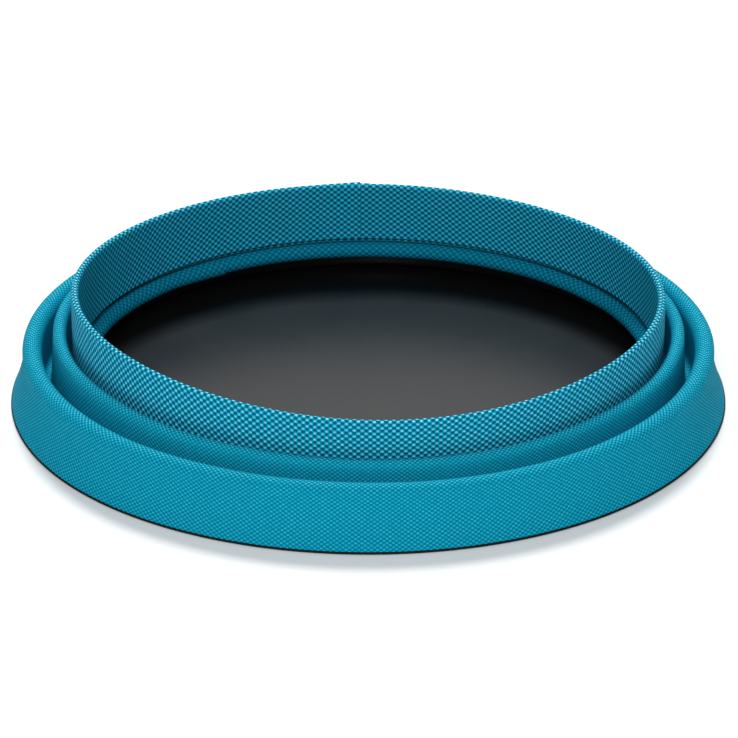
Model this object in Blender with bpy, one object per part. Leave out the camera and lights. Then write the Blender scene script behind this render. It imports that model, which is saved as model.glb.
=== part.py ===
"""Collapsible fabric bowl, folded flat.

The wall is one tube of coated nylon, wide at the foot and narrow at the mouth. Three stiffened
tiers stand inside each other, and two soft folds join them:

    foot, outer wall, roll, lower fold, middle wall, roll, upper fold, rim cuff

Every ring is a closed outline in the (r, z) plane turned about Z. The outer face of the fabric is
drawn first and each layer behind it is an offset of that face, so a changed size carries through
to every piece. Lengths are in metres, +Z is up and the bowl rests on z = 0.
"""

import math

import bmesh
import bpy

MM = 0.001

# Overall sizes
BASE_RADIUS = 100.0 * MM
OUTER_TIER_TOP = 18.1 * MM
MIDDLE_TIER_TOP = 21.6 * MM
RIM_TOP = 31.6 * MM

# Outer tier: a wall that leans in from the foot to a neck, then stands up into the roll
WALL_LEAN = 3.6 * MM
WALL_CURVE = 1.3
NECK_HEIGHT = 12.4 * MM
OUTER_ROLL = 2.8 * MM

# Lower fold and middle tier
LOWER_VALLEY = 2.4 * MM
MIDDLE_LEAN = 0.4 * MM
MIDDLE_ROLL = 1.9 * MM

# Upper fold and rim tier
UPPER_VALLEY = 1.8 * MM
CUFF_HEM_HEIGHT = 12.4 * MM
BINDING_HEIGHT = 4.1 * MM
BINDING_DEPTH = 2.7 * MM
SEAM_LAP_WIDTH = 3.6 * MM
SEAM_LAP_ANGLE = 90.7
THREAD_RADIUS = 0.22 * MM

# Fabrics, foams and boards
SHELL = 0.5 * MM
LINER = 0.35 * MM
OUTER_FOAM = 1.0 * MM
MIDDLE_FOAM = 0.6 * MM
RIM_BOARD = 0.5 * MM
BOTTOM_PANEL = 0.8 * MM
BASE_BOARD = 1.2 * MM
FLOOR_LINER = 0.6 * MM
WELT_RADIUS = 0.35 * MM
WELT_INSET = 0.1 * MM
GAP = 0.3 * MM
FLOOR_CLEARANCE = 0.4 * MM

# Facets
SEGMENTS = 48
ROLL_STEPS = 3
BEND_STEPS = 4
EDGE_STEPS = 4
TAPE_STEPS = 6
WELT_SIDES = 6
THREAD_SIDES = 5
SHARP_ANGLE = math.radians(40.0)

# Finishes: base colour, roughness
TEAL_NYLON = ("teal_nylon", (0.004, 0.26, 0.40, 1.0), 0.62)
TEAL_TAPE = ("teal_tape", (0.003, 0.15, 0.24, 1.0), 0.7)
BLACK_LINER = ("black_liner", (0.012, 0.012, 0.013, 1.0), 0.4)
BLACK_WELT = ("black_welt", (0.01, 0.01, 0.011, 1.0), 0.6)
GREY_FOAM = ("grey_foam", (0.12, 0.12, 0.13, 1.0), 0.9)
WHITE_BOARD = ("white_board", (0.55, 0.55, 0.53, 1.0), 0.6)

# Heights and radii worked out from the sizes above
PANEL_TOP = BOTTOM_PANEL
BOARD_BOTTOM = PANEL_TOP + GAP
BOARD_TOP = BOARD_BOTTOM + BASE_BOARD
FLOOR_BOTTOM = BOARD_TOP + GAP
FLOOR_TOP = FLOOR_BOTTOM + FLOOR_LINER
CUFF_THICKNESS = 2.0 * (SHELL + GAP) + RIM_BOARD
OUTER_STACK = SHELL + GAP + OUTER_FOAM + GAP + LINER
FOLD_STACK = SHELL + GAP + LINER
STEEPEST_LEAN = WALL_LEAN * WALL_CURVE / NECK_HEIGHT
FOOT_HEIGHT = WELT_INSET + 2.0 * WELT_RADIUS + GAP + SHELL * STEEPEST_LEAN
INNER_FOOT_HEIGHT = PANEL_TOP + GAP + OUTER_STACK * STEEPEST_LEAN
NECK_RADIUS = BASE_RADIUS - WALL_LEAN
OUTER_ROLL_CENTRE = (NECK_RADIUS - OUTER_ROLL, OUTER_TIER_TOP - OUTER_ROLL)
LOWER_BEND = LOWER_VALLEY / 2.0
LOWER_BEND_CENTRE = (
    OUTER_ROLL_CENTRE[0] - OUTER_ROLL - LOWER_BEND,
    FLOOR_TOP + FLOOR_CLEARANCE + FOLD_STACK + LOWER_BEND,
)
MIDDLE_FOOT_RADIUS = LOWER_BEND_CENTRE[0] - LOWER_BEND
MIDDLE_RADIUS = MIDDLE_FOOT_RADIUS - MIDDLE_LEAN
MIDDLE_ROLL_CENTRE = (MIDDLE_RADIUS - MIDDLE_ROLL, MIDDLE_TIER_TOP - MIDDLE_ROLL)
UPPER_BEND = UPPER_VALLEY / 2.0
UPPER_BEND_CENTRE = (
    MIDDLE_ROLL_CENTRE[0] - MIDDLE_ROLL - UPPER_BEND,
    FLOOR_TOP + FLOOR_CLEARANCE + FOLD_STACK + UPPER_BEND,
)
RIM_RADIUS = UPPER_BEND_CENTRE[0] - UPPER_BEND
CUFF_INNER_RADIUS = RIM_RADIUS - CUFF_THICKNESS
CUFF_EDGE = CUFF_THICKNESS / 2.0
CUFF_EDGE_CENTRE = (RIM_RADIUS - CUFF_EDGE, RIM_TOP - CUFF_EDGE)


def arc(centre, radius, start, end, steps):
    """Points on an arc in the (r, z) plane, from start to end degrees."""
    angles = [math.radians(start + (end - start) * i / steps) for i in range(steps + 1)]
    return [(centre[0] + radius * math.cos(a), centre[1] + radius * math.sin(a)) for a in angles]


def round_outline(centre, radius, sides):
    """A closed regular polygon in the (r, z) plane."""
    return arc(centre, radius, 0.0, 360.0, sides)[:-1]


def outer_wall_radius(height):
    """The outer wall's radius: it leans in from the foot and stands upright above the neck."""
    left = max(0.0, 1.0 - height / NECK_HEIGHT)
    return NECK_RADIUS + WALL_LEAN * left**WALL_CURVE


def outer_wall_slope(height):
    """How fast the outer wall's radius changes with height."""
    left = max(0.0, 1.0 - height / NECK_HEIGHT)
    return -STEEPEST_LEAN * left ** (WALL_CURVE - 1.0) if left > 0.0 else 0.0


def behind(radius, height, slope, depth):
    """The point at a depth behind a wall's face, square to the face."""
    size = math.hypot(1.0, slope)
    return (radius - depth / size, height + depth * slope / size)


def outer_wall_line(start, depth):
    """The outer wall at a depth behind its face, from a starting height up to the roll."""
    heights = [start, (start + NECK_HEIGHT) / 2.0, NECK_HEIGHT, OUTER_ROLL_CENTRE[1]]
    return [behind(outer_wall_radius(z), z, outer_wall_slope(z), depth) for z in heights]


def middle_wall_line(start, depth):
    """The middle wall at a depth behind its face, from a starting height up to the roll."""
    foot = LOWER_BEND_CENTRE[1]
    upper = MIDDLE_ROLL_CENTRE[1]
    lean = MIDDLE_LEAN / (upper - foot)
    radius = MIDDLE_FOOT_RADIUS - lean * (start - foot)
    return [behind(radius, start, -lean, depth), behind(MIDDLE_RADIUS, upper, -lean, depth)]


def first_half_roll(centre, roll, depth):
    """A wall's share of its roll, from the outermost point to the top."""
    return arc(centre, roll - depth, 0.0, 90.0, ROLL_STEPS)


def liner_curl(centre, roll, depth, thickness):
    """A wall liner's last stretch: it curls up under the roll to meet the fold's liner."""
    points = []
    for i in range(ROLL_STEPS + 1):
        share = i / ROLL_STEPS
        reach = roll - depth + share * (depth - SHELL - GAP) - thickness
        angle = math.radians(90.0 * share)
        points.append((centre[0] + reach * math.cos(angle), centre[1] + reach * math.sin(angle)))
    return points


def fold_line(roll_centre, roll, bend_centre, bend, depth):
    """A fold at a depth behind its face: over the rest of the roll, down, and round the bend."""
    clear = math.degrees(GAP / (roll - SHELL))
    over = arc(roll_centre, roll - depth, 90.0 + clear, 180.0, ROLL_STEPS)
    under = arc(bend_centre, bend + depth, 0.0, -180.0, BEND_STEPS)
    return over + under


def between(near, far):
    """The closed outline of a layer that fills the space between two lines."""
    return near + far[::-1]


def finish_mesh(bm, name):
    """Turns a bmesh into a mesh with outward faces and smooth round surfaces."""
    bmesh.ops.recalc_face_normals(bm, faces=bm.faces)
    if bm.calc_volume(signed=True) < 0.0:
        bmesh.ops.reverse_faces(bm, faces=bm.faces)
    mesh = bpy.data.meshes.new(name)
    bm.to_mesh(mesh)
    bm.free()
    mesh.shade_smooth()
    mesh.set_sharp_from_angle(angle=SHARP_ANGLE)
    return mesh


def ring_mesh(name, outline):
    """A closed (r, z) outline turned a full circle about Z."""
    bm = bmesh.new()
    corners = [bm.verts.new((r, 0.0, z)) for r, z in outline]
    edges = [bm.edges.new((a, b)) for a, b in zip(corners, corners[1:] + corners[:1])]
    bmesh.ops.spin(
        bm,
        geom=corners + edges,
        cent=(0.0, 0.0, 0.0),
        axis=(0.0, 0.0, 1.0),
        angle=math.tau,
        steps=SEGMENTS,
        use_merge=True,
    )
    return finish_mesh(bm, name)


def strip_mesh(name, outline, middle_angle, width_angle):
    """A closed (r, z) outline turned through part of a circle, closed at both ends."""
    bm = bmesh.new()
    start = math.radians(middle_angle - width_angle / 2.0)
    across = (math.cos(start), math.sin(start))
    corners = [bm.verts.new((r * across[0], r * across[1], z)) for r, z in outline]
    face = bm.faces.new(corners)
    bmesh.ops.spin(
        bm,
        geom=corners + list(face.edges) + [face],
        cent=(0.0, 0.0, 0.0),
        axis=(0.0, 0.0, 1.0),
        angle=math.radians(width_angle),
        steps=1,
    )
    return finish_mesh(bm, name)


def disc_mesh(name, radius, bottom, top):
    """A flat round sheet between two heights."""
    bm = bmesh.new()
    bmesh.ops.create_cone(
        bm, cap_ends=True, segments=SEGMENTS, radius1=radius, radius2=radius, depth=top - bottom
    )
    bmesh.ops.translate(bm, verts=bm.verts, vec=(0.0, 0.0, (top + bottom) / 2.0))
    return finish_mesh(bm, name)


def make_finish(finish):
    """A Principled material, made once for each finish."""
    name, colour, roughness = finish
    material = bpy.data.materials.get(name)
    if material is None:
        material = bpy.data.materials.new(name)
        material.use_nodes = True
        shader = material.node_tree.nodes["Principled BSDF"]
        shader.inputs["Base Color"].default_value = colour
        shader.inputs["Roughness"].default_value = roughness
        shader.inputs["Metallic"].default_value = 0.0
        material.diffuse_color = colour
    return material


def add_piece(name, mesh, finish, tier):
    """Links a mesh as one named piece that moves with a tier."""
    piece = bpy.data.objects.new(name, mesh)
    piece.data.materials.append(make_finish(finish))
    piece.parent = tier
    bpy.context.scene.collection.objects.link(piece)
    return piece


def add_ring(name, outline, finish, tier):
    """A turned ring as one named piece."""
    return add_piece(name, ring_mesh(name, outline), finish, tier)


def add_disc(name, radius, bottom, top, finish, tier):
    """A flat round sheet as one named piece."""
    return add_piece(name, disc_mesh(name, radius, bottom, top), finish, tier)


def add_tier(name):
    """An empty on the Z axis that carries one tier of the bowl."""
    tier = bpy.data.objects.new(name, None)
    bpy.context.scene.collection.objects.link(tier)
    return tier


def build_base(tier):
    """The floor sandwich and the welt round its edge."""
    floor_radius = outer_wall_radius(FLOOR_TOP) - OUTER_STACK - 2.0 * GAP
    welt_centre = (BASE_RADIUS - WELT_INSET - WELT_RADIUS, WELT_INSET + WELT_RADIUS)
    panel_radius = welt_centre[0] - WELT_RADIUS - GAP
    welt = round_outline(welt_centre, WELT_RADIUS, WELT_SIDES)
    add_disc("bottom_panel", panel_radius, 0.0, PANEL_TOP, BLACK_LINER, tier)
    add_disc("base_board", floor_radius, BOARD_BOTTOM, BOARD_TOP, WHITE_BOARD, tier)
    add_disc("floor_liner", floor_radius, FLOOR_BOTTOM, FLOOR_TOP, BLACK_LINER, tier)
    add_ring("base_welt", welt, BLACK_WELT, tier)


def build_outer_tier(tier):
    """The outer wall's shell, which runs up to the top of the roll, its foam and its liner."""

    def shell_line(depth):
        wall = outer_wall_line(FOOT_HEIGHT, depth)[:-1]
        return wall + first_half_roll(OUTER_ROLL_CENTRE, OUTER_ROLL, depth)

    def liner_line(thickness):
        wall = outer_wall_line(INNER_FOOT_HEIGHT, liner + thickness)[:-1]
        return wall + liner_curl(OUTER_ROLL_CENTRE, OUTER_ROLL, liner, thickness)

    foam = SHELL + GAP
    liner = foam + OUTER_FOAM + GAP
    shell_outline = between(shell_line(0.0), shell_line(SHELL))
    foam_outline = between(
        outer_wall_line(INNER_FOOT_HEIGHT, foam), outer_wall_line(INNER_FOOT_HEIGHT, foam + OUTER_FOAM)
    )
    liner_outline = between(liner_line(0.0), liner_line(LINER))
    add_ring("outer_wall_shell", shell_outline, TEAL_NYLON, tier)
    add_ring("outer_wall_foam", foam_outline, GREY_FOAM, tier)
    add_ring("outer_wall_liner", liner_outline, BLACK_LINER, tier)


def build_fold(prefix, roll_centre, roll, bend_centre, bend, tier):
    """A soft fold that hangs from a roll: shell fabric in front and lining behind it."""

    def line(depth):
        return fold_line(roll_centre, roll, bend_centre, bend, depth)

    add_ring(prefix + "_shell", between(line(0.0), line(SHELL)), TEAL_NYLON, tier)
    add_ring(prefix + "_liner", between(line(SHELL + GAP), line(FOLD_STACK)), BLACK_LINER, tier)


def build_middle_tier(tier):
    """The middle wall's shell, which runs up to the top of the roll, its foam and its liner."""
    start = LOWER_BEND_CENTRE[1] + GAP
    inner_start = start + GAP

    def shell_line(depth):
        wall = middle_wall_line(start, depth)[:-1]
        return wall + first_half_roll(MIDDLE_ROLL_CENTRE, MIDDLE_ROLL, depth)

    def liner_line(thickness):
        wall = middle_wall_line(inner_start, liner + thickness)[:-1]
        return wall + liner_curl(MIDDLE_ROLL_CENTRE, MIDDLE_ROLL, liner, thickness)

    foam = SHELL + GAP
    liner = foam + MIDDLE_FOAM + GAP
    shell_outline = between(shell_line(0.0), shell_line(SHELL))
    foam_outline = between(
        middle_wall_line(inner_start, foam), middle_wall_line(inner_start, foam + MIDDLE_FOAM)
    )
    liner_outline = between(liner_line(0.0), liner_line(LINER))
    add_ring("middle_wall_shell", shell_outline, TEAL_NYLON, tier)
    add_ring("middle_wall_foam", foam_outline, GREY_FOAM, tier)
    add_ring("middle_wall_liner", liner_outline, BLACK_LINER, tier)


def upright(radius, bottom, top):
    """A straight upright line at a radius."""
    return [(radius, bottom), (radius, top)]


def build_cuff(tier):
    """The cuff turned over the rim, the hoop inside it and the lining behind its outer ply."""
    start = UPPER_BEND_CENTRE[1] + GAP

    def line(depth):
        edge = arc(CUFF_EDGE_CENTRE, CUFF_EDGE - depth, 0.0, 180.0, EDGE_STEPS)
        return [(RIM_RADIUS - depth, start)] + edge + [(CUFF_INNER_RADIUS + depth, CUFF_HEM_HEIGHT)]

    hoop_radius = RIM_RADIUS - SHELL - GAP
    hoop_bottom = CUFF_HEM_HEIGHT + GAP
    hoop_top = CUFF_EDGE_CENTRE[1] - GAP
    liner_top = CUFF_HEM_HEIGHT - GAP
    hoop = between(
        upright(hoop_radius, hoop_bottom, hoop_top),
        upright(hoop_radius - RIM_BOARD, hoop_bottom, hoop_top),
    )
    liner = between(
        upright(hoop_radius, start, liner_top), upright(hoop_radius - LINER, start, liner_top)
    )
    add_ring("rim_band", between(line(0.0), line(SHELL)), TEAL_NYLON, tier)
    add_ring("rim_board", hoop, WHITE_BOARD, tier)
    add_ring("rim_wall_liner", liner, BLACK_LINER, tier)


def build_hem(tier):
    """The tape that binds the cuff's lower edge, and the thread in the crease above it."""
    tape_top = CUFF_HEM_HEIGHT - GAP
    tape_middle = tape_top - BINDING_HEIGHT / 2.0
    tape_back = CUFF_INNER_RADIUS + SHELL
    bulge = BINDING_DEPTH + SHELL
    turns = [math.pi * i / TAPE_STEPS for i in range(TAPE_STEPS + 1)]
    tape = [
        (tape_back - bulge * math.sin(a), tape_middle + BINDING_HEIGHT / 2.0 * math.cos(a))
        for a in turns
    ]
    thread_centre = (
        CUFF_INNER_RADIUS - GAP - THREAD_RADIUS,
        CUFF_HEM_HEIGHT + GAP + THREAD_RADIUS,
    )
    add_ring("rim_binding", tape, TEAL_TAPE, tier)
    add_ring("rim_stitching", round_outline(thread_centre, THREAD_RADIUS, THREAD_SIDES), TEAL_TAPE, tier)


def build_seam_lap(tier):
    """The cuff's lapped seam: a narrow upright strip of cloth on the inside, at the back."""
    facet = math.cos(math.pi / SEGMENTS)
    outer = (CUFF_INNER_RADIUS - GAP) * facet
    bottom = CUFF_HEM_HEIGHT + 3.0 * GAP + 2.0 * THREAD_RADIUS
    top = CUFF_EDGE_CENTRE[1]
    outline = between(upright(outer, bottom, top), upright(outer - SHELL, bottom, top))
    width = math.degrees(SEAM_LAP_WIDTH / outer)
    flap = strip_mesh("rim_seam_flap", outline, SEAM_LAP_ANGLE, width)
    add_piece("rim_seam_flap", flap, TEAL_NYLON, tier)


def main():
    """Builds the bowl, tier by tier, from the foot to the mouth."""
    for old in list(bpy.data.objects):
        bpy.data.objects.remove(old, do_unlink=True)
    base = add_tier("base_tier")
    middle = add_tier("middle_tier")
    rim = add_tier("rim_tier")
    build_base(base)
    build_outer_tier(base)
    build_fold("lower_fold", OUTER_ROLL_CENTRE, OUTER_ROLL, LOWER_BEND_CENTRE, LOWER_BEND, base)
    build_middle_tier(middle)
    build_fold("upper_fold", MIDDLE_ROLL_CENTRE, MIDDLE_ROLL, UPPER_BEND_CENTRE, UPPER_BEND, middle)
    build_cuff(rim)
    build_hem(rim)
    build_seam_lap(rim)


main()
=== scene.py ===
"""Dresses the folded travel bowl: nylon rings with soft folds, a lapped cuff and a satin floor."""

import sys
import logging
import math
from dataclasses import dataclass, field
from enum import Enum
from typing import Callable, Optional, Sequence, Union

import bpy
import numpy as np
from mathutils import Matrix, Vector


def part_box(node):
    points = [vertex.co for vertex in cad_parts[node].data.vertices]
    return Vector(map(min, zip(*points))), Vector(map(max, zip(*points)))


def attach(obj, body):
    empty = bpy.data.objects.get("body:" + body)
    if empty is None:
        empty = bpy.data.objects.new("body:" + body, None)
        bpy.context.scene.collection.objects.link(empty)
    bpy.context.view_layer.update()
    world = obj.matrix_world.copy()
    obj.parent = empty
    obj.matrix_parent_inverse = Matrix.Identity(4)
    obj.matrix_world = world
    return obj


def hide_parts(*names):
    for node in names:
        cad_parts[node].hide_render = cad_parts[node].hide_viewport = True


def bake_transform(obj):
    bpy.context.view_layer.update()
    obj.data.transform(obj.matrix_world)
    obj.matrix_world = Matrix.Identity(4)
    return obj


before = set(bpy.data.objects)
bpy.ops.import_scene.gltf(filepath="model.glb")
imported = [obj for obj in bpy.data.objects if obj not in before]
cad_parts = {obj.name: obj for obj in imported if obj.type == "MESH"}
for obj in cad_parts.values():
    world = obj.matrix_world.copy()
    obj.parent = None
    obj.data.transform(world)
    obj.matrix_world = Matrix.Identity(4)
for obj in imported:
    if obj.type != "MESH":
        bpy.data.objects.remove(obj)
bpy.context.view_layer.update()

log = logging.getLogger("bowl")

MM = 0.001
AROUND = 384
END_RING = 0.03 * MM
SAME_POINT = 1e-7
LEVEL = 1e-6
CREASE_ANGLE = math.radians(50.0)

Term = Union[bpy.types.NodeSocket, float, tuple[float, float, float, float]]
Harmonics = Sequence[tuple[int, float, float]]
Settle = Callable[[np.ndarray, np.ndarray, np.ndarray], tuple[np.ndarray, np.ndarray]]


class Body(Enum):
    """The bodies that the pieces ride on."""

    BASE = "base"
    MIDDLE = "middle"
    RIM = "rim"


class Slot(Enum):
    """The record's material slots."""

    WALL = "wall_nylon"
    RIM = "rim_nylon"
    TAPE = "binding_tape"
    THREAD = "thread"
    BASE_FABRIC = "base_fabric"
    LINING = "liner_film"
    PIPING = "welt_cord"
    FOAM = "wall_foam"
    BOARD = "stiffener_board"


# ---------------------------------------------------------------- nodes and colours


def linear(code: str) -> tuple[float, float, float, float]:
    """Turns an sRGB hex colour to linear light.

    Args:
        code: Six hex digits.

    Returns:
        Red, green, blue and an alpha of 1.
    """
    parts = [int(code[i : i + 2], 16) / 255.0 for i in (0, 2, 4)]
    light = [c / 12.92 if c <= 0.04045 else ((c + 0.055) / 1.055) ** 2.4 for c in parts]
    return (light[0], light[1], light[2], 1.0)


def add(
    tree: bpy.types.NodeTree,
    kind: str,
    links: Optional[dict] = None,
    values: Optional[dict] = None,
    **settings: object,
) -> bpy.types.Node:
    """Adds a node with its settings, values and links.

    Args:
        tree: The node tree that takes the node.
        kind: The node's type.
        links: Output sockets by the name or number of the input they feed.
        values: Values by the name or number of the input that holds them.
        **settings: The node's own properties.

    Returns:
        The new node.
    """
    node = tree.nodes.new(kind)
    for key, value in settings.items():
        setattr(node, key, value)
    for key, value in (values or {}).items():
        node.inputs[key].default_value = value
    for key, source in (links or {}).items():
        tree.links.new(source, node.inputs[key])
    return node


def new_material(name: str) -> tuple[bpy.types.Material, bpy.types.NodeTree]:
    """Makes an empty node material.

    Args:
        name: The material's name.

    Returns:
        The material and its node tree.
    """
    material = bpy.data.materials.new(name)
    material.use_nodes = True
    material.node_tree.nodes.clear()
    return material, material.node_tree


def parted(terms: dict[object, Term]) -> tuple[dict, dict]:
    """Parts an input's terms into the sockets to link and the values to set."""
    links = {k: t for k, t in terms.items() if isinstance(t, bpy.types.NodeSocket)}
    return links, {k: t for k, t in terms.items() if k not in links}


def maths(
    tree: bpy.types.NodeTree, operation: str, *terms: Term, **settings: object
) -> bpy.types.NodeSocket:
    """Adds a maths node.

    Args:
        tree: The node tree that takes the node.
        operation: What the node does.
        *terms: Sockets or numbers, in the order of the node's inputs.
        **settings: The node's own properties.

    Returns:
        The result's socket.
    """
    links, values = parted(dict(enumerate(terms)))
    node = add(tree, "ShaderNodeMath", links, values, operation=operation, **settings)
    return node.outputs[0]


def ranged(
    tree: bpy.types.NodeTree,
    value: bpy.types.NodeSocket,
    source: tuple[float, float] = (0.0, 1.0),
    target: tuple[float, float] = (0.0, 1.0),
    **settings: object,
) -> bpy.types.NodeSocket:
    """Maps a value from a source range to a target range, clamped."""
    limits = {"From Min": source[0], "From Max": source[1]}
    limits.update({"To Min": target[0], "To Max": target[1]})
    return add(tree, "ShaderNodeMapRange", {"Value": value}, limits, **settings).outputs[0]


def mixed(
    tree: bpy.types.NodeTree, share: bpy.types.NodeSocket, first: Term, second: Term
) -> bpy.types.NodeSocket:
    """Mixes two colours by a share of the second."""
    links, values = parted({0: share, 6: first, 7: second})
    return add(tree, "ShaderNodeMix", links, values, data_type="RGBA").outputs[2]


def noise(
    tree: bpy.types.NodeTree, place: bpy.types.NodeSocket, scale: float, detail: float
) -> bpy.types.NodeSocket:
    """Adds a noise over a place, from 0 to 1."""
    values = {"Scale": scale, "Detail": detail}
    return add(tree, "ShaderNodeTexNoise", {"Vector": place}, values).outputs["Fac"]


def bumped(
    tree: bpy.types.NodeTree, height: bpy.types.NodeSocket, relief_mm: float
) -> bpy.types.NodeSocket:
    """Turns a height into a normal, with a relief in millimetres."""
    values = {"Strength": 1.0, "Distance": relief_mm * MM}
    return add(tree, "ShaderNodeBump", {"Height": height}, values).outputs["Normal"]


def surface(tree: bpy.types.NodeTree, links: dict, values: dict) -> None:
    """Adds the principled shader and the output."""
    shader = add(tree, "ShaderNodeBsdfPrincipled", links, values).outputs[0]
    add(tree, "ShaderNodeOutputMaterial", {"Surface": shader})


# ---------------------------------------------------------------- finishes


@dataclass(frozen=True)
class WovenNylon:
    """Plain-weave solution-dyed nylon: round filament bundles, with a painted highlight where
    they ride over.

    The bundles' tops take a pale painted highlight in the base colour, and the gaps between
    them are darker, partly the weave's own pattern and partly painted shade, so the cloth
    reads as rows of dots set like bricks.
    """

    name: str
    threads_round: int
    row_mm: float
    gap: str
    thread: str
    # painted highlight: the colour mixed into the bundles' tops, and the largest share of it they
    # take
    painted_highlight: str
    painted_highlight_share: float
    relief_mm: float
    ground: tuple[float, float] = (-1.0, 0.1)
    bead: tuple[float, float] = (0.15, 0.95)
    drift_across: float = 1.6
    drift_up: float = 2.2
    float_length: float = 1.3
    # how much the painted highlight grows on crests and fades, as painted shade, on inward plies
    painted_crest_share: float = 1.5
    roughness: float = 0.6
    gap_roughness: float = 0.85
    shine: float = 0.01

    def build(self) -> bpy.types.Material:
        """Builds the cloth's material."""
        material, tree = new_material(self.name)
        place = add(tree, "ShaderNodeTexCoord").outputs["Object"]
        weave = self.weave(tree, place)
        body = ranged(tree, weave, self.ground, interpolation_type="SMOOTHSTEP")
        # the share of painted highlight on each bundle's top
        top = ranged(
            tree, weave, self.bead, (0.0, self.painted_highlight_share), interpolation_type="SMOOTHSTEP"
        )
        # the painted highlight differs a little from bundle to bundle, at random
        spread = ranged(tree, noise(tree, place, 800.0, 1.0), (0.3, 0.7), (0.55, 1.15))
        # painted highlight: the highlight is stronger on top of rolls and edges, where light
        # falls, and weaker on plies that face inwards, a painted shade
        crest = add(tree, "ShaderNodeAttribute", attribute_name="crest").outputs["Fac"]
        crest = maths(tree, "MULTIPLY_ADD", crest, self.painted_crest_share, 1.0)
        spread = maths(tree, "MULTIPLY", spread, crest)
        top = maths(tree, "MULTIPLY", top, spread, use_clamp=True)
        # the gap colour is the weave's own pattern plus painted shade in the gaps between bundles
        cloth = mixed(tree, body, linear(self.gap), linear(self.thread))
        # painted highlight: the highlight colour is mixed into the base colour on the bundles'
        # tops
        cloth = mixed(tree, top, cloth, linear(self.painted_highlight))
        bump = bumped(tree, maths(tree, "ADD", weave, body), self.relief_mm)
        dull = ranged(tree, body, target=(self.gap_roughness, self.roughness))
        surface(
            tree,
            {"Base Color": cloth, "Normal": bump, "Roughness": dull},
            {"IOR": 1.53, "Specular IOR Level": self.shine},
        )
        return material

    def weave(
        self, tree: bpy.types.NodeTree, place: bpy.types.NodeSocket
    ) -> bpy.types.NodeSocket:
        """Adds the weave's height, from -1 in a gap to 1 on a bundle's float."""
        axes = add(tree, "ShaderNodeSeparateXYZ", {0: place}).outputs
        run = add(tree, "ShaderNodeAttribute", attribute_name="run").outputs["Fac"]
        # threads wander by a small share of their spacing, as woven cloth does
        drift = maths(tree, "ADD", noise(tree, place, 70.0, 2.0), -0.5)
        angle = maths(tree, "ARCTAN2", axes["Y"], axes["X"])
        across = maths(tree, "MULTIPLY", angle, self.threads_round / 2.0)
        across = maths(tree, "MULTIPLY_ADD", drift, self.drift_across, across)
        up = maths(tree, "MULTIPLY", run, math.pi / (self.row_mm * MM))
        up = maths(tree, "MULTIPLY_ADD", drift, self.drift_up, up)
        # a bundle's float is longer than the dip beside it
        floats = maths(tree, "MULTIPLY", maths(tree, "COSINE", across), self.float_length)
        floats = add(
            tree, "ShaderNodeClamp", {"Value": floats}, {"Min": -1.0, "Max": 1.0}
        ).outputs[0]
        return maths(tree, "MULTIPLY", floats, maths(tree, "COSINE", up))


@dataclass(frozen=True)
class CoatedFabric:
    """Polyurethane-coated polyester: a black film with a satin shine over a faint fine weave."""

    name: str
    colour: str
    roughness: float
    thread_mm: float
    relief_mm: float
    patches: float = 0.03

    def build(self) -> bpy.types.Material:
        """Builds the coated fabric's material."""
        material, tree = new_material(self.name)
        place = add(tree, "ShaderNodeTexCoord").outputs["Object"]
        scaled = add(
            tree,
            "ShaderNodeVectorMath",
            {0: place},
            {"Scale": 2.0 * math.pi / (self.thread_mm * MM)},
            operation="SCALE",
        ).outputs[0]
        axes = add(tree, "ShaderNodeSeparateXYZ", {0: scaled}).outputs
        weave = maths(
            tree, "MULTIPLY", maths(tree, "SINE", axes["X"]), maths(tree, "SINE", axes["Y"])
        )
        patchy = (self.roughness - self.patches, self.roughness + self.patches)
        dull = ranged(tree, noise(tree, place, 45.0, 3.0), target=patchy)
        surface(
            tree,
            {"Normal": bumped(tree, weave, self.relief_mm), "Roughness": dull},
            {"Base Color": linear(self.colour), "IOR": 1.34},
        )
        return material


@dataclass(frozen=True)
class SpunYarn:
    """Polyester tape, thread or cord: fine twisted ribs, dull, with dark grooves between them."""

    name: str
    colour: str
    groove: str
    ribs_round: int
    slant: float
    relief_mm: float
    roughness: float = 0.6

    def build(self) -> bpy.types.Material:
        """Builds the ribbed yarn's material."""
        material, tree = new_material(self.name)
        place = add(tree, "ShaderNodeTexCoord").outputs["Object"]
        axes = add(tree, "ShaderNodeSeparateXYZ", {0: place}).outputs
        angle = maths(tree, "ARCTAN2", axes["Y"], axes["X"])
        turned = maths(tree, "MULTIPLY", angle, float(self.ribs_round))
        turned = maths(tree, "MULTIPLY_ADD", axes["Z"], self.slant / MM, turned)
        rib = maths(tree, "SINE", turned)
        share = ranged(tree, rib, (-1.0, 0.4))
        colour = mixed(tree, share, linear(self.groove), linear(self.colour))
        surface(
            tree,
            {"Base Color": colour, "Normal": bumped(tree, rib, self.relief_mm)},
            {"Roughness": self.roughness, "IOR": 1.54, "Specular IOR Level": 0.12},
        )
        return material


@dataclass(frozen=True)
class MouldedSheet:
    """Polyethylene foam or board: matt, with the pores or the grain of its extruded skin."""

    name: str
    colour: str
    pore: str
    grain_mm: float
    relief_mm: float
    roughness: float

    def build(self) -> bpy.types.Material:
        """Builds the foam or board's material."""
        material, tree = new_material(self.name)
        place = add(tree, "ShaderNodeTexCoord").outputs["Object"]
        cells = add(
            tree,
            "ShaderNodeTexVoronoi",
            {"Vector": place},
            {"Scale": 1.0 / (self.grain_mm * MM)},
        ).outputs["Distance"]
        colour = mixed(tree, cells, linear(self.pore), linear(self.colour))
        surface(
            tree,
            {"Base Color": colour, "Normal": bumped(tree, cells, self.relief_mm)},
            {"Roughness": self.roughness, "IOR": 1.51},
        )
        return material


# each cloth's highlight colour is a painted highlight, mixed into its base colour on the bundles'
# tops
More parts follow.
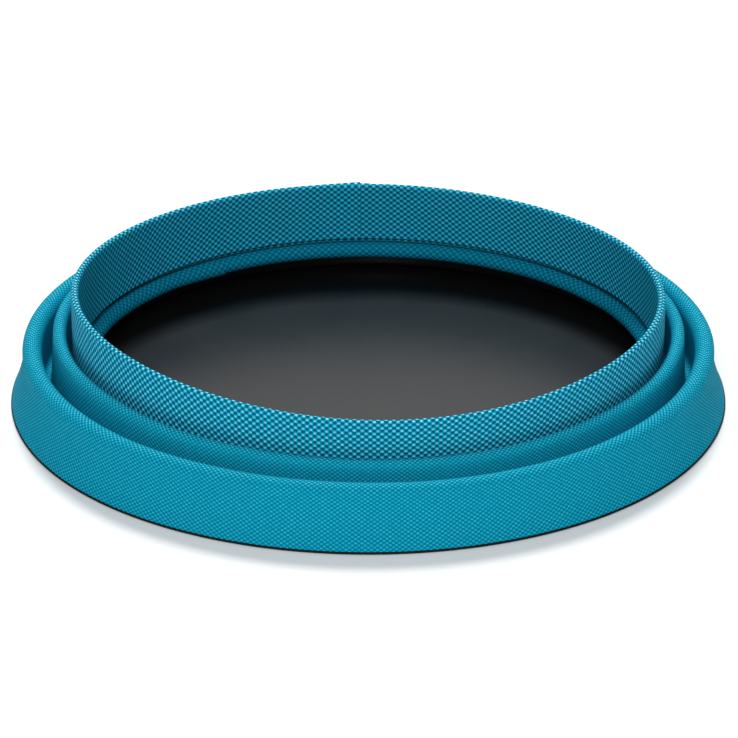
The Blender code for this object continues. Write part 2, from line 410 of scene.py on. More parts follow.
WALL_NYLON = WovenNylon(
    "wall_nylon",
    threads_round=752,
    row_mm=0.58,
    gap="007899",
    thread="008CAB",
    painted_highlight="4CD4E4",
    painted_highlight_share=0.5,
    relief_mm=0.05,
)
RIM_NYLON = WovenNylon(
    "rim_nylon",
    threads_round=490,
    row_mm=0.91,
    gap="006082",
    thread="029EC2",
    painted_highlight="A0F2FA",
    painted_highlight_share=0.66,
    relief_mm=0.16,
    bead=(0.25, 1.0),
)
# painted shade: the hem tape is the rim's weave in darker colours, standing in for the shade on
# the tape, which faces down at the cuff's lower edge
SHADED_HEM_NYLON = WovenNylon(
    "painted_shade_hem_nylon",
    threads_round=490,
    row_mm=0.82,
    gap="005E7C",
    thread="027694",
    painted_highlight="44B0C4",
    painted_highlight_share=0.4,
    relief_mm=0.08,
    bead=(0.4, 1.0),
)
SATIN_LINING = CoatedFabric("satin_lining", "0C0C0D", 0.3, 0.35, 0.002)
BASE_OXFORD = CoatedFabric("base_oxford", "0B0B0C", 0.5, 0.9, 0.06)
# the hem thread is dark, and is darkened further as painted shade for the crease it lies in
HEM_THREAD = SpunYarn("hem_thread", "084456", "02202C", 1600, 6.0, 0.02)
PIPING_CORD = SpunYarn("piping_cord", "161C1F", "080A0B", 1300, 5.0, 0.03)
WALL_FOAM = MouldedSheet("wall_foam", "55575A", "303133", 0.5, 0.08, 0.9)
STIFF_BOARD = MouldedSheet("stiff_board", "D8D7D0", "C4C2BA", 1.4, 0.02, 0.55)


# ---------------------------------------------------------------- lines and turned pieces


@dataclass
class Line:
    """A line in the (radius, height) plane with its hidden side's normals and its run."""

    points: np.ndarray
    normals: np.ndarray
    run: np.ndarray

    @classmethod
    def through(cls, points: Sequence[tuple[float, float]], start: float = 0.0) -> "Line":
        """Makes a line through points.

        Args:
            points: (radius, height) pairs in order.
            start: The run at the first point.

        Returns:
            The line, with normals to the left of its direction.
        """
        at = np.array(points, float)
        steps = np.linalg.norm(np.diff(at, axis=0), axis=1)
        at = at[np.concatenate([[True], steps > SAME_POINT])]
        steps = np.linalg.norm(np.diff(at, axis=0), axis=1)
        run = start + np.concatenate([[0.0], np.cumsum(steps)])
        along = np.gradient(at, run, axis=0)
        along /= np.linalg.norm(along, axis=1)[:, None]
        return cls(at, np.column_stack([-along[:, 1], along[:, 0]]), run)

    def cut(self, low: float, high: float) -> "Line":
        """The stretch of the line between two runs, with a close ring at each end."""
        inner = self.run[(self.run > low + END_RING * 2) & (self.run < high - END_RING * 2)]
        run = np.concatenate([[low, low + END_RING], inner, [high - END_RING, high]])
        pick = [np.interp(run, self.run, c) for c in (*self.points.T, *self.normals.T)]
        normals = np.column_stack(pick[2:])
        normals /= np.linalg.norm(normals, axis=1)[:, None]
        return Line(np.column_stack(pick[:2]), normals, run)

    def with_rows(self, count: int) -> "Line":
        """The same line with evenly spaced points."""
        run = np.linspace(self.run[0], self.run[-1], count)
        at = np.column_stack([np.interp(run, self.run, c) for c in self.points.T])
        return Line.through([tuple(p) for p in at], float(run[0]))

    def behind(self, depth: float) -> np.ndarray:
        """The line's points moved to its hidden side by a depth."""
        return self.points + self.normals * depth

    @property
    def crest(self) -> np.ndarray:
        """1 on top of a roll or edge, 0 outside, and below 0 on a ply that faces inwards.

        It weights the cloth's painted highlight: stronger on tops, where light falls, and
        weaker, a painted shade, on plies that face into the bowl and the valleys.
        """
        over = np.clip(-self.normals[:, 1], 0.0, 1.0) ** 6
        return over - 0.35 * np.clip(self.normals[:, 0], 0.0, 1.0)

    @property
    def length(self) -> float:
        """How long the line is."""
        return float(self.run[-1] - self.run[0])


def arc(
    centre: tuple[float, float], radius: float, start: float, end: float, steps: int
) -> list[tuple[float, float]]:
    """Points on an arc in the (radius, height) plane, from start to end degrees."""
    turns = np.radians(np.linspace(start, end, steps + 1))
    return [(centre[0] + radius * math.cos(a), centre[1] + radius * math.sin(a)) for a in turns]


def straight(
    start: tuple[float, float], end: tuple[float, float], steps: int
) -> list[tuple[float, float]]:
    """Evenly spaced points on a straight line."""
    return [tuple(p) for p in np.linspace(start, end, steps + 1)]


def wave(angles: np.ndarray, harmonics: Harmonics) -> np.ndarray:
    """A sum of cosine and sine terms round the bowl, in metres."""
    total = np.zeros_like(angles)
    for turns, cosine, sine in harmonics:
        total = total + cosine * np.cos(turns * angles) + sine * np.sin(turns * angles)
    return total * MM


@dataclass(frozen=True)
class Sit:
    """How one ring sits: it stays flat at its foot and leans and swells towards its top.

    Attributes:
        foot: The height below which the ring isn't disturbed.
        top: The ring's top.
        lift: Harmonics of the height that the top stands above its true place.
        swell: Harmonics of the radius that the top stands proud.
    """

    foot: float
    top: float
    lift: Harmonics
    swell: Harmonics

    def __call__(
        self, angles: np.ndarray, radii: np.ndarray, heights: np.ndarray
    ) -> tuple[np.ndarray, np.ndarray]:
        """Moves a ring's points to where the soft ring sits.

        Args:
            angles: Angles round the bowl.
            radii: Radii of the points.
            heights: Heights of the points.

        Returns:
            The new radii and heights.
        """
        share = np.clip((heights - self.foot) / (self.top - self.foot), 0.0, 1.3)
        eased = np.where(share < 0.5, 2.0 * share * share, 2.0 * share - 0.5)
        eased = eased / 1.5
        return radii + wave(angles, self.swell) * eased, heights + wave(angles, self.lift) * eased


def flat_sit(
    angles: np.ndarray, radii: np.ndarray, heights: np.ndarray
) -> tuple[np.ndarray, np.ndarray]:
    """A ring that sits exactly true."""
    return radii, heights


def finish_mesh(
    name: str,
    points: np.ndarray,
    faces: list[list[int]],
    run: Optional[np.ndarray] = None,
    crest: Optional[np.ndarray] = None,
) -> bpy.types.Object:
    """Makes an object from points and faces, smooth but for its cut edges.

    Args:
        name: The object's name.
        points: The vertices.
        faces: Vertex numbers of each face.
        run: Each vertex's distance along the cloth, or None.
        crest: 1 on top of a roll or edge, 0 outside and less on an inner ply, or None; it
        weights the painted highlight and the painted shade on the cloth.

    Returns:
        The object, linked to the scene.
    """
    mesh = bpy.data.meshes.new(name)
    mesh.from_pydata(points.tolist(), [], faces)
    for label, values in (("run", run), ("crest", crest)):
        attribute = mesh.attributes.new(label, "FLOAT", "POINT")
        if values is not None:
            attribute.data.foreach_set("value", values.astype(np.float32))
    mesh.shade_smooth()
    mesh.set_sharp_from_angle(angle=CREASE_ANGLE)
    mesh.validate()
    piece = bpy.data.objects.new(name, mesh)
    bpy.context.scene.collection.objects.link(piece)
    return piece


def turn(
    name: str,
    outline: np.ndarray,
    run: np.ndarray,
    sit: Settle = flat_sit,
    sweep: Optional[tuple[float, float, int]] = None,
    crest: Optional[np.ndarray] = None,
    swell: Optional[Callable[[np.ndarray, np.ndarray], tuple[np.ndarray, np.ndarray]]] = None,
) -> bpy.types.Object:
    """Turns a closed outline round the bowl's axis.

    Args:
        name: The piece's name.
        outline: (radius, height) points of the closed outline, counter-clockwise.
        run: Each outline point's distance along the cloth.
        sit: How the ring sits.
        sweep: Start and end angle in radians and divisions, or None for a whole ring.
        crest: How far each outline point is on top of a roll, or None; it weights the
        cloth's painted highlight and painted shade.
        swell: Extra move of radii and heights, from angles and outline point numbers.

    Returns:
        The piece.
    """
    if sweep is None:
        angles = np.arange(AROUND) * 2.0 * math.pi / AROUND
    else:
        angles = np.linspace(sweep[0], sweep[1], sweep[2] + 1)
    count = len(outline)
    grid = np.repeat(angles[:, None], count, axis=1)
    radii, heights = (np.tile(c, (len(angles), 1)) for c in outline.T)
    if swell is not None:
        out, up = swell(grid, np.arange(count)[None, :])
        radii, heights = radii + out, heights + up
    radii, heights = sit(grid, radii, heights)
    points = np.stack([radii * np.cos(grid), radii * np.sin(grid), heights], axis=-1)
    faces = []
    last = len(angles) if sweep is None else len(angles) - 1
    for i in range(last):
        here = i * count
        there = ((i + 1) % len(angles)) * count
        for k in range(count):
            m = (k + 1) % count
            faces.append([here + k, there + k, there + m, here + m])
    if sweep is not None:
        half = count // 2
        end = last * count
        for k in range(half - 1):
            m = count - 1 - k
            faces.append([k, k + 1, m - 1, m])
            faces.append([end + k, end + m, end + m - 1, end + k + 1])
    tops = None if crest is None else np.tile(crest, len(angles))
    return finish_mesh(name, points.reshape(-1, 3), faces, np.tile(run, len(angles)), tops)


def turn_layer(
    name: str,
    line: Line,
    depth: float,
    thickness: float,
    sit: Settle = flat_sit,
) -> bpy.types.Object:
    """Turns a layer of cloth that lies at a depth behind a line.

    Args:
        name: The piece's name.
        line: The line that the cloth follows.
        depth: How far the cloth's face is behind the line.
        thickness: How thick the cloth is.
        sit: How the ring sits.

    Returns:
        The piece.
    """
    outline = np.vstack([line.behind(depth), line.behind(depth + thickness)[::-1]])
    run = np.concatenate([line.run, line.run[::-1]])
    crest = np.concatenate([line.crest, line.crest[::-1]])
    return turn(name, outline, run, sit, crest=crest)


def turn_disc(name: str, radius: float, bottom: float, top: float, rings: int) -> bpy.types.Object:
    """Makes a round flat sheet with a softened edge.

    Args:
        name: The piece's name.
        radius: The sheet's radius.
        bottom: Height of its underside.
        top: Height of its upper side.
        rings: How many rings of faces each side has.

    Returns:
        The piece.
    """
    soft = min(0.25 * MM, (top - bottom) / 3.0)
    share = np.linspace(0.02, 1.0, rings)
    low = [((radius - soft) * s, bottom) for s in share]
    edge = [(radius, bottom + soft), (radius, top - soft)]
    high = [((radius - soft) * s, top) for s in share[::-1]]
    outline = np.array(low + edge + high)
    angles = np.arange(AROUND) * 2.0 * math.pi / AROUND
    count = len(outline)
    radii, heights = outline.T
    wide, deep = np.cos(angles)[:, None] * radii, np.sin(angles)[:, None] * radii
    points = np.stack([wide, deep, np.tile(heights, (AROUND, 1))], axis=-1).reshape(-1, 3)
    faces = []
    for i in range(AROUND):
        here, there = i * count, ((i + 1) % AROUND) * count
        for k in range(count - 1):
            faces.append([here + k, there + k, there + k + 1, here + k + 1])
    faces.append([i * count for i in range(AROUND)][::-1])
    faces.append([i * count + count - 1 for i in range(AROUND)])
    run = np.tile(np.linalg.norm(outline - outline[0], axis=1), AROUND)
    return finish_mesh(name, points, faces, run)


# ---------------------------------------------------------------- the bowl's shared sizes


@dataclass(frozen=True)
class Cloths:
    """How thick each cloth is, and the room between the layers."""

    shell: float = 0.5 * MM
    lining: float = 0.35 * MM
    outer_foam: float = 1.0 * MM
    middle_foam: float = 0.6 * MM
    board: float = 0.5 * MM
    gap: float = 0.3 * MM


@dataclass(frozen=True)
class Folded:
    """The folded bowl's shell line, from the foot to the cuff's hem, worked out from the CAD
    parts' boxes.

    Attributes:
        lean: How far the outer wall leans in from its foot to its neck.
        neck: Height above which the outer wall stands upright.
        curve: How the lean eases off.
        split: Where on a roll the wall's cloth ends and the fold's cloth starts, in degrees.
        roll_steps: Points round a roll.
        bend_steps: Points round a bend at a fold's bottom.
        edge_steps: Points round the cuff's top edge.
        crease: How far above the hem tape the cuff's inner ply ends.
        tuck: Radius of the tuck that ends the inner ply.
        tuck_rows: Rows of a fold lining's tuck.
        curl: Start, end and count of the turns of a lining's curl, in degrees.
    """

    lean: float = 3.6 * MM
    neck: float = 12.4 * MM
    curve: float = 1.3
    split: float = 118.0
    roll_steps: int = 26
    bend_steps: int = 14
    edge_steps: int = 14
    crease: float = 0.7 * MM
    tuck: float = 0.45 * MM
    tuck_rows: int = 24
    curl: tuple[float, float, int] = (8.0, 90.0, 10)
    cloths: Cloths = field(default_factory=Cloths)

    @property
    def foot(self) -> float:
        """Height of the outer wall's lower edge, which comes down to the piping."""
        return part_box("base_welt")[1].z + 0.1 * MM

    @property
    def base_radius(self) -> float:
        """The neck's radius, at which the outer wall stands upright."""
        low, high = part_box("outer_wall_shell")
        left = 1.0 - low.z / self.neck
        return high.x - self.lean * left**self.curve

    def wall_radius(self, height: float) -> float:
        """The outer wall's radius at a height."""
        return self.base_radius + self.lean * max(0.0, 1.0 - height / self.neck) ** self.curve

    def pieces(self) -> dict[str, Line]:
        """Works out the shell's line and cuts it into its pieces' lines.

        Returns:
            The lines of the outer wall, lower fold, middle wall, upper fold and cuff.
        """
        shell, gap = self.cloths.shell, self.cloths.gap
        outer_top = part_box("outer_wall_shell")[1].z
        middle_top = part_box("middle_wall_shell")[1].z
        middle_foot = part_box("middle_wall_shell")
        rim_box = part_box("rim_band")
        bend_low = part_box("lower_fold_shell")[0].z + shell
        foot_height = middle_foot[0].z - gap
        outer_centre_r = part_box("lower_fold_shell")[1].x + gap
        outer_roll = self.base_radius - outer_centre_r
        lower_bend = foot_height - bend_low
        lower_centre = (outer_centre_r - outer_roll - lower_bend, foot_height)
        middle_centre_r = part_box("upper_fold_shell")[1].x + gap
        rim_radius = rim_box[1].x
        rim_foot = rim_box[0].z - gap
        upper_bend = rim_foot - (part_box("upper_fold_shell")[0].z + shell)
        upper_centre = (rim_radius + upper_bend, rim_foot)
        middle_roll = middle_centre_r - upper_centre[0] - upper_bend
        outer_centre = (outer_centre_r, outer_top - outer_roll)
        middle_centre = (middle_centre_r, middle_top - middle_roll)
        cuff_edge = (rim_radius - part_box("rim_binding")[1].x + shell) / 2.0
        edge_centre = (rim_radius - cuff_edge, rim_box[1].z - cuff_edge)
        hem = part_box("rim_binding")[1].z + self.crease
        inner = rim_radius - 2.0 * cuff_edge
        before = round(self.roll_steps * self.split / 180.0)
        after = self.roll_steps - before
        stages = [
            [(self.wall_radius(z), z) for z in np.linspace(self.foot, self.neck, 14)]
            + straight((self.base_radius, self.neck), (self.base_radius, outer_centre[1]), 3)
            + arc(outer_centre, outer_roll, 0.0, self.split, before),
            arc(outer_centre, outer_roll, self.split, 180.0, after)
            + straight(
                (outer_centre[0] - outer_roll, outer_centre[1]),
                (outer_centre[0] - outer_roll, lower_centre[1]),
                10,
            )
            + arc(lower_centre, lower_bend, 0.0, -180.0, self.bend_steps),
            straight(
                (lower_centre[0] - lower_bend, lower_centre[1]),
                (middle_centre[0] + middle_roll, middle_centre[1]),
                12,
            )
            + arc(middle_centre, middle_roll, 0.0, self.split, before),
            arc(middle_centre, middle_roll, self.split, 180.0, after)
            + straight(
                (middle_centre[0] - middle_roll, middle_centre[1]),
                (upper_centre[0] + upper_bend, upper_centre[1]),
                12,
            )
            + arc(upper_centre, upper_bend, 0.0, -180.0, self.bend_steps),
            straight((rim_radius, rim_foot), (rim_radius, edge_centre[1]), 20)
            + arc(edge_centre, cuff_edge, 0.0, 180.0, self.edge_steps)
            + straight((inner, edge_centre[1]), (inner, hem + 2.0 * self.tuck), 16)
            + arc((inner + self.tuck, hem + 2.0 * self.tuck), self.tuck, 180.0, 250.0, 6),
        ]
        whole = Line.through([p for stage in stages for p in stage])
        cuts = [0.0]
        for stage in stages:
            at = np.array(stage)
            cuts.append(cuts[-1] + float(np.linalg.norm(np.diff(at, axis=0), axis=1).sum()))
        ends = [min(end, whole.run[-1]) for end in cuts[1:]]
        names = ("outer_wall", "lower_fold", "middle_wall", "upper_fold", "cuff")
        return {n: whole.cut(start, end) for n, start, end in zip(names, cuts, ends)}


OUTER_SIT_SWELL: Harmonics = (
    (2, 0.10, -0.06),
    (3, -0.08, 0.07),
    (5, 0.06, 0.05),
    (8, 0.04, -0.04),
    (13, 0.03, 0.03),
)
OUTER_SIT_LIFT: Harmonics = ((2, 0.10, 0.05), (3, 0.06, -0.08), (7, 0.05, 0.03))
MIDDLE_SIT_SWELL: Harmonics = (
    (2, -0.12, 0.08),
    (3, 0.1, 0.08),
    (6, 0.06, -0.05),
    (11, 0.04, 0.04),
)
MIDDLE_SIT_LIFT: Harmonics = ((1, -0.62, -0.43), (2, 0.55, 0.12), (3, 0.06, -0.3), (7, 0.05, 0.04))
RIM_SIT_SWELL: Harmonics = ((2, 0.12, 0.04), (3, -0.06, 0.08), (5, 0.04, -0.04))
RIM_SIT_LIFT: Harmonics = ((1, -1.24, -0.87), (2, 1.2, 0.27), (3, 0.12, -0.66))


def dress(
    piece: bpy.types.Object,
    material: bpy.types.Material,
    nodes: Sequence[str] = (),
    body: Optional[Body] = None,
) -> bpy.types.Object:
    """Gives a piece its material, hides the CAD nodes it replaces, puts it on the body it rides on
    and logs it.

    Args:
        piece: The piece.
        material: Its material.
        nodes: CAD nodes that it replaces.
        body: The body it rides on, or None for no body.

    Returns:
        The piece.
    """
    piece.data.materials.clear()
    piece.data.materials.append(material)
    if nodes:
        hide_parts(*nodes)
    if body is not None:
        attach(piece, body.value)
    log.info("%s: %d faces, %s", piece.name, len(piece.data.polygons), material.name)
    return piece


def bend(
    piece: bpy.types.Object
) -> None:
    """Bakes a piece's placement into its mesh; the piece rides on no body."""
    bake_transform(piece)


# ---------------------------------------------------------------- sub-assemblies


@dataclass
class Ring:
    """What a ring is built from, and how its wall and its fold are built."""

    shape: Folded
    lines: dict[str, Line]
    palette: dict[str, bpy.types.Material]
    sit: Sit

    def build_wall(self, name: str, foam: float, body: Body, heeled: bool) -> None:
        """Builds a wall's cloth, its foam and the lining, which curls up under the roll.

        Args:
            name: The wall's name.
            foam: The foam's thickness.
            body: The body it rides on.
            heeled: Whether the lining's foot reaches out to the lining of the fold below.
        """
        cloths = self.shape.cloths
        line = self.lines[name]
        cloth = turn_layer(name + "_cloth", line, 0.0, cloths.shell, self.sit)
        dress(cloth, self.palette["wall"], [name + "_shell"], body)

        foam_box, lining_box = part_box(name + "_foam"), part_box(name + "_liner")
        foam_depth = cloths.shell + cloths.gap
        lining_depth = foam_depth + foam + cloths.gap
        low = line.points[:, 1] <= foam_box[1].z + LEVEL
        upright = Line(line.points[low], line.normals[low], line.run[low])
        top_run = float(upright.run[-1])
        start = float(np.interp(foam_box[0].z, upright.points[:, 1], upright.run))
        pad = turn_layer(name + "_pad", upright.cut(start, top_run), foam_depth, foam, self.sit)
        dress(pad, self.palette["foam"], [name + "_foam"], body)

        start = float(np.interp(lining_box[0].z, upright.points[:, 1], upright.run))
        behind = upright.cut(start, top_run).behind(lining_depth)
        peak = line.points[np.argmax(line.points[:, 1])]
        roll = upright.points[-1][0] - peak[0]
        turns = np.radians(np.linspace(*self.shape.curl))
        reach = np.linspace(roll - lining_depth, roll - foam_depth, len(turns))
        curl = [
            (peak[0] + r * math.cos(a), peak[1] - roll + r * math.sin(a))
            for a, r in zip(turns, reach)
        ]
        heel = []
        if heeled:
            toe = line.behind(foam_depth)[0]
            heel = [tuple(toe), ((toe[0] + behind[0][0]) / 2.0, toe[1] + cloths.lining)]
        path = Line.through(heel + [tuple(p) for p in behind] + curl)
        lining = turn_layer(name + "_lining", path, 0.0, cloths.lining, self.sit)
        dress(lining, self.palette["lining"], [name + "_liner"], body)

    def build_fold(self, name: str, bodies: tuple[Body, Body], roll: str) -> None:
        """Builds a soft fold that hangs from a roll; its cloth and its tuck are baked in place and
        ride on no body.

        Args:
            name: The fold's name.
            bodies: The body that holds the roll, on which the hanging lining rides, and the body
                that holds the fold's bottom, which is not used.
            roll: The CAD node with the roll; not used.
        """
        cloths = self.shape.cloths
        line = self.lines[name]
        cloth = turn_layer(name + "_cloth", line, 0.0, cloths.shell, self.sit)
        dress(cloth, self.palette["wall"], [name + "_shell"])
        bend(cloth)

        path = Line.through([tuple(p) for p in line.behind(cloths.shell + cloths.gap)])
        low = float(path.run[np.argmin(path.points[:, 1])])
        hanging = path.cut(0.0, low)
        lining = turn_layer(name + "_lining", hanging, 0.0, cloths.lining, self.sit)
        dress(lining, self.palette["lining"], [name + "_liner"], bodies[0])
        # the tuck is the lining's part that rises from the bend's bottom, in even rows; it is
        # baked in place and rides on no body
        rising = path.cut(low, float(path.run[-1])).with_rows(self.shape.tuck_rows)
        tuck = turn_layer(name + "_lining_tuck", rising, 0.0, cloths.lining, self.sit)
        dress(tuck, self.palette["lining"], [name + "_liner"])
        bend(tuck)


class Base(Ring):
    """The floor sandwich, the outer wall and the fold that joins it to the middle ring."""

    def build(self) -> None:
        """Builds every piece of the base."""
        self.build_floor()
        self.build_wall("outer_wall", self.shape.cloths.outer_foam, Body.BASE, False)
        self.build_fold("lower_fold", (Body.BASE, Body.MIDDLE), "outer_wall_shell")

    def build_floor(self) -> None:
        """Builds the underside, the board, the bowl's floor and the piping round the foot."""
        self.build_disc("underside_panel", "bottom_panel", 26, "oxford", Slot.BASE_FABRIC)
        self.build_disc("bowl_floor", "floor_liner", 40, "lining", Slot.LINING)

        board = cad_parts["base_board"]
        board.data.materials.clear()
        board.data.materials.append(self.palette["board"])

        low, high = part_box("base_welt")
        radius = (high.z - low.z) / 2.0
        outline = np.array(arc((high.x - radius, low.z + radius), radius, 0.0, 360.0, 16)[:-1])
        piping = turn("foot_piping", outline, np.zeros(len(outline)))
        dress(piping, self.palette["piping"], ["base_welt"], Body.BASE)

    def build_disc(self, name: str, node: str, rings: int, finish: str, slot: Slot) -> None:
        """Builds a round sheet that lies against the board.

        Args:
            name: The sheet's name.
            node: The CAD node that it stands for.
            rings: How many rings of faces each side has.
            finish: Its finish in the palette.
            slot: The record's slot; not used.
        """
        low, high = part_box(node)
        disc = turn_disc(name, high.x, low.z, high.z, rings)
        dress(disc, self.palette[finish], [node], Body.BASE)


class Middle(Ring):
    """The middle ring and the fold that joins it to the rim."""

    def build(self) -> None:
        """Builds every piece of the middle ring."""
        self.build_wall("middle_wall", self.shape.cloths.middle_foam, Body.MIDDLE, True)
        self.build_fold("upper_fold", (Body.MIDDLE, Body.RIM), "middle_wall_shell")


@dataclass
class Rim(Ring):
    """The cuff over its hoop, with its lapped seam, its hem tape and the hem's stitches.

    Attributes:
        lap_step: Where round the bowl the cuff's upper end stops, in degrees.
        lap_width: How far the thick part of the lap goes, in degrees.
        lap_under: How far the ply under the lap goes past its end, in degrees.
        lap_over: How far the lap reaches over the cuff's top edge.
        lap_short: How far the lap ends above the hem.
        tape_step: Where the hem tape's end lies, in degrees.
        stitch: Length of a stitch.
        thread_sides: Sides of the thread.
        thread_rows: Rings of points along a stitch.
        shown: How much of a stitch's spacing is thread.
        sink: How far the thread sinks into the crease.
        drop: How far the thread lies below the cuff's hem.
        rise: How far the hoop's foot stays above the hem, so that the crease can close.
    """

    lap_step: float = 91.7
    lap_width: float = 9.0
    lap_under: float = 2.1
    lap_over: float = 3.0 * MM
    lap_short: float = 0.6 * MM
    tape_step: float = 122.0
    stitch: float = 2.6 * MM
    thread_sides: int = 8
    thread_rows: int = 7
    shown: float = 0.86
    sink: float = 0.35 * MM
    drop: float = 0.4 * MM
    rise: float = 2.5 * MM

    def build(self) -> None:
        """Builds every piece of the rim."""
        cloths = self.shape.cloths
        line = self.lines["cuff"]
        cuff = turn_layer("rim_cuff", line, 0.0, cloths.shell, self.sit)
        dress(cuff, self.palette["rim"], ["rim_band"], Body.RIM)
        lap = self.build_lap(line)
        tape = self.build_tape()
        stitches = self.build_stitches()
        self.build_inside(line)

    def build_lap(self, line: Line) -> bpy.types.Object:
        """Builds the cuff's lapped end, which rises to a step at the back.

        Args:
            line: The cuff's line.

        Returns:
            The lap.
        """
        start = float(line.run[np.argmax(line.points[:, 1])] - self.lap_over)
        end = float(line.run[-1] - self.lap_short)
        part = line.cut(start, end)
        outline = np.vstack([part.behind(0.0), part.behind(0.25 * MM)[::-1]])
        normals = np.vstack([part.normals, part.normals[::-1] * 0.0])
        step = math.radians(self.lap_step)
        thick = math.radians(self.lap_width)
        under = math.radians(self.lap_under)

        def rise(angles: np.ndarray, number: np.ndarray) -> tuple[np.ndarray, np.ndarray]:
            """How far the lap's face stands off the cuff at each angle."""
            left = np.clip((step + thick - angles) / thick, 0.0, 1.0)
            above = 0.04 + 0.5 * left**1.5
            fall = np.clip((step - angles) / math.radians(0.12), 0.0, 1.0)
            above = np.where(angles < step, 0.54 - 0.38 * fall, above)
            off = above * MM
            out = -normals[:, 0][number] * off
            up = -normals[:, 1][number] * off
            return out, up

        lap = turn(
            "cuff_seam_lap",
            outline,
            np.concatenate([part.run, part.run[::-1]]),
            self.sit,
            (step - under, step + thick, 110),
            np.concatenate([part.crest, part.crest[::-1]]),
            rise,
        )
        return dress(lap, self.palette["rim"], ["rim_seam_flap"], Body.RIM)

    def build_tape(self) -> bpy.types.Object:
        """Builds the hem tape, wrapped round the cuff's lower edge, with its lapped end."""
        low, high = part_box("rim_binding")
        back = high.x
        flat = [v.co[:2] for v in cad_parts["rim_binding"].data.vertices]
        inner = -float(np.linalg.norm(np.array(flat), axis=1).min())
        bulge = back + inner
        centre = (low.z + high.z) / 2.0
        half = (high.z - low.z) / 2.0
        turns = np.linspace(-0.5, math.pi + 0.5, 30)
        path = [
            (back - bulge * math.copysign(abs(math.sin(a)) ** 0.8, math.sin(a)),
             centre + half * math.cos(a) * (1.0 if 0.0 < a < math.pi else 0.8))
            for a in turns
        ]
        line = Line.through(path)
        outline = np.vstack([line.behind(0.0), line.behind(-0.35 * MM)[::-1]])[::-1]
        step = math.radians(self.tape_step)

        def rise(angles: np.ndarray, number: np.ndarray) -> tuple[np.ndarray, np.ndarray]:
            """The tape's lapped end stands in a little and hangs a little lower."""
            past = np.mod(angles - step, 2.0 * math.pi)
            lap = np.where(past < math.radians(14.0), 1.0 - past / math.radians(14.0), 0.0)
            rough = wave(angles, ((9, 0.05, 0.04), (17, 0.04, -0.05), (31, 0.03, 0.03)))
            high_share = np.clip((outline[:, 1][number] - low.z) / (high.z - low.z), 0.0, 1.0)
            reach = np.clip((back - outline[:, 0][number]) / bulge, 0.0, 1.0)
            out = -(0.4 * lap * MM + rough) * reach
            return out, -0.35 * lap * MM * (1.0 - high_share)

        run = np.concatenate([line.run, line.run[::-1]])[::-1]
        tape = turn("hem_tape", outline, run, self.sit, swell=rise)
        return dress(tape, self.palette["tape"], ["rim_binding"], Body.RIM)

    def build_stitches(self) -> bpy.types.Object:
        """Builds the row of stitches that closes the cuff along the crease."""
        low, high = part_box("rim_stitching")
        thread = (high.z - low.z) / 2.0
        centre = (high.x - thread, (low.z + high.z) / 2.0)
        count = round(2.0 * math.pi * centre[0] / self.stitch)
        sides, along = self.thread_sides, self.thread_rows
        points: list[list[float]] = []
        faces: list[list[int]] = []
        for n in range(count):
            middle = 2.0 * math.pi * n / count
            base = len(points)
            for i in range(along):
                share = i / (along - 1)
                angle = middle + (share - 0.5) * 2.0 * math.pi / count * self.shown
                thin = math.sin(math.pi * (0.08 + 0.84 * share)) ** 0.45
                dip = (1.0 - thin) * 0.3 * MM
                for s in range(sides):
                    turn_by = 2.0 * math.pi * s / sides
                    r = centre[0] + self.sink + dip + thread * thin * math.cos(turn_by)
                    z = centre[1] - self.drop + thread * thin * math.sin(turn_by)
                    rr, zz = self.sit(np.array([angle]), np.array([r]), np.array([z]))
                    points.append(
                        [rr[0] * math.cos(angle), rr[0] * math.sin(angle), float(zz[0])]
                    )
            for i in range(along - 1):
                for s in range(sides):
                    t = (s + 1) % sides
                    here, there = base + i * sides, base + (i + 1) * sides
                    faces.append([here + s, there + s, there + t, here + t])
            faces.append([base + s for s in range(sides)])
            faces.append([base + (along - 1) * sides + s for s in range(sides)][::-1])
        stitches = finish_mesh("hem_stitches", np.array(points), faces)
        return dress(
            stitches, self.palette["thread"], ["rim_stitching"], Body.RIM
        )

    def build_inside(self, line: Line) -> None:
        """Builds the hoop inside the cuff and the lining below the hem.

        Args:
            line: The cuff's line.
        """
        cloths = self.shape.cloths
        low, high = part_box("rim_board")
        hoop_line = Line.through(straight((high.x, low.z + self.rise), (high.x, high.z), 12))
        hoop = turn_layer("rim_hoop", hoop_line, 0.0, cloths.board, self.sit)
        dress(hoop, self.palette["board"], ["rim_board"], Body.RIM)
        low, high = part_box("rim_wall_liner")
        lining_line = Line.through(
            straight((high.x, low.z - cloths.gap), (high.x, high.z), 8)
        )
        lining = turn_layer("rim_wall_lining", lining_line, 0.0, cloths.lining, self.sit)
        dress(lining, self.palette["lining"], ["rim_wall_liner"], Body.RIM)


# ---------------------------------------------------------------- studio


# each light's name, place, diameter in metres and power in watts
LIGHTS = (
    ("key_light", (-0.15, -1.45, 1.1), 0.7, 16.5),
    ("back_light", (0.0, 0.96, 1.37), 0.45, 20.0),
    ("rear_card", (0.0, 1.6, 0.75), 1.2, 2.5),
)


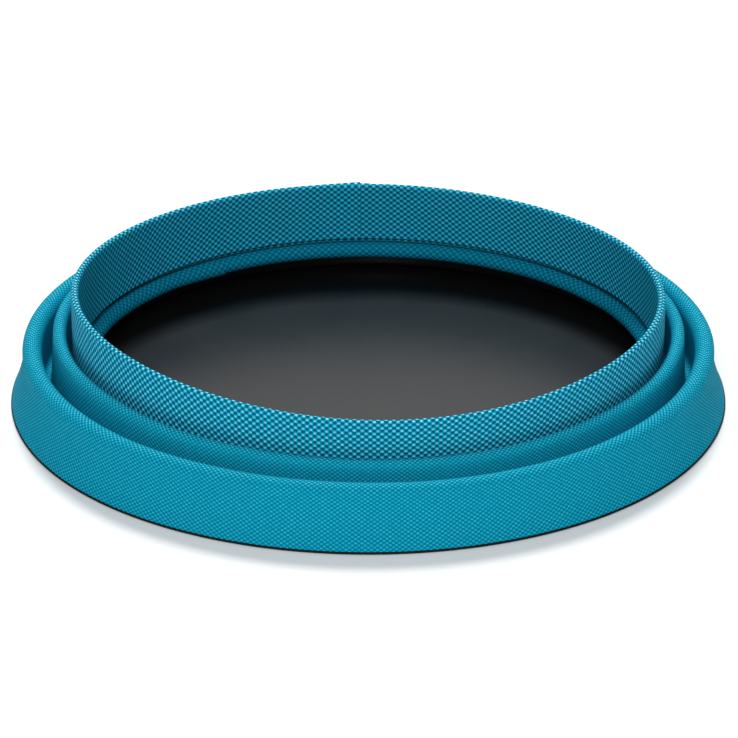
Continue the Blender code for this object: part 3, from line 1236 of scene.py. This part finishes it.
@dataclass(frozen=True)
class Studio:
    """A pale sweep, soft light and the camera.

    Attributes:
        distance: From the camera to the bowl's foot.
        elevation: The camera's height above the horizon, in degrees.
        lens: Focal length in millimetres on a 36 mm sensor.
        aim: The point the camera looks at.
        world: Strength of the white surroundings.
    """

    distance: float = 1.5
    elevation: float = 24.98
    lens: float = 261.07
    aim: tuple[float, float, float] = (0.0002, 0.0, 0.0081)
    world: float = 0.32

    def build(self) -> None:
        """Builds the floor, the lights and the camera."""
        self.build_floor()
        self.build_lights()
        self.build_camera()

    def build_floor(self) -> None:
        """Builds the plain pale floor."""
        mesh = bpy.data.meshes.new("studio_floor")
        half = 6.0
        mesh.from_pydata(
            [(-half, -half, 0.0), (half, -half, 0.0), (half, half, 0.0), (-half, half, 0.0)],
            [],
            [(0, 1, 2, 3)],
        )
        floor = bpy.data.objects.new("studio_floor", mesh)
        bpy.context.scene.collection.objects.link(floor)
        material, tree = new_material("pale_paper")
        shader = add(
            tree,
            "ShaderNodeBsdfPrincipled",
            values={"Base Color": (0.93, 0.93, 0.93, 1.0), "Roughness": 0.9},
        ).outputs[0]
        add(tree, "ShaderNodeOutputMaterial", {"Surface": shader})
        mesh.materials.append(material)

    def build_lights(self) -> None:
        """Builds the white surroundings and the soft lights."""
        world = bpy.data.worlds.new("white_room")
        world.use_nodes = True
        world.node_tree.nodes.clear()
        sky = add(
            world.node_tree,
            "ShaderNodeBackground",
            values={"Color": (1.0, 1.0, 1.0, 1.0), "Strength": self.world},
        ).outputs[0]
        add(world.node_tree, "ShaderNodeOutputWorld", {"Surface": sky})
        bpy.context.scene.world = world
        for name, place, size, power in LIGHTS:
            data = bpy.data.lights.new(name, "AREA")
            data.shape = "DISK"
            data.size = size
            data.energy = power
            light = bpy.data.objects.new(name, data)
            light.location = place
            light.rotation_mode = "QUATERNION"
            light.rotation_quaternion = (-Vector(place)).to_track_quat("-Z", "Y")
            bpy.context.scene.collection.objects.link(light)

    def build_camera(self) -> None:
        """Builds the camera."""
        data = bpy.data.cameras.new("camera")
        data.lens = self.lens
        data.sensor_width = 36.0
        camera = bpy.data.objects.new("camera", data)
        tilt = math.radians(self.elevation)
        place = Vector((0.0, -math.cos(tilt), math.sin(tilt))) * self.distance
        camera.location = place
        camera.rotation_mode = "QUATERNION"
        camera.rotation_quaternion = (Vector(self.aim) - place).to_track_quat("-Z", "Y")
        data.clip_start = 0.01
        bpy.context.scene.collection.objects.link(camera)
        bpy.context.scene.camera = camera
        bpy.context.scene.view_settings.view_transform = "Standard"


def main() -> None:
    """Builds the bowl and its studio, and reports each piece."""
    logging.basicConfig(level=logging.INFO, format="%(message)s", stream=sys.stdout)
    palette = {
        "wall": WALL_NYLON.build(),
        "rim": RIM_NYLON.build(),
        "lining": SATIN_LINING.build(),
        "oxford": BASE_OXFORD.build(),
        "tape": SHADED_HEM_NYLON.build(),
        "thread": HEM_THREAD.build(),
        "piping": PIPING_CORD.build(),
        "foam": WALL_FOAM.build(),
        "board": STIFF_BOARD.build(),
    }
    shape = Folded()
    lines = shape.pieces()
    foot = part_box("rim_band")[0].z
    outer = Sit(foot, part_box("outer_wall_shell")[1].z, OUTER_SIT_LIFT, OUTER_SIT_SWELL)
    middle = Sit(foot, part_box("middle_wall_shell")[1].z, MIDDLE_SIT_LIFT, MIDDLE_SIT_SWELL)
    rim = Sit(foot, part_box("rim_band")[1].z, RIM_SIT_LIFT, RIM_SIT_SWELL)
    Base(shape, lines, palette, outer).build()
    Middle(shape, lines, palette, middle).build()
    Rim(shape, lines, palette, rim).build()
    Studio().build()


if __name__ == "__main__":
    main()
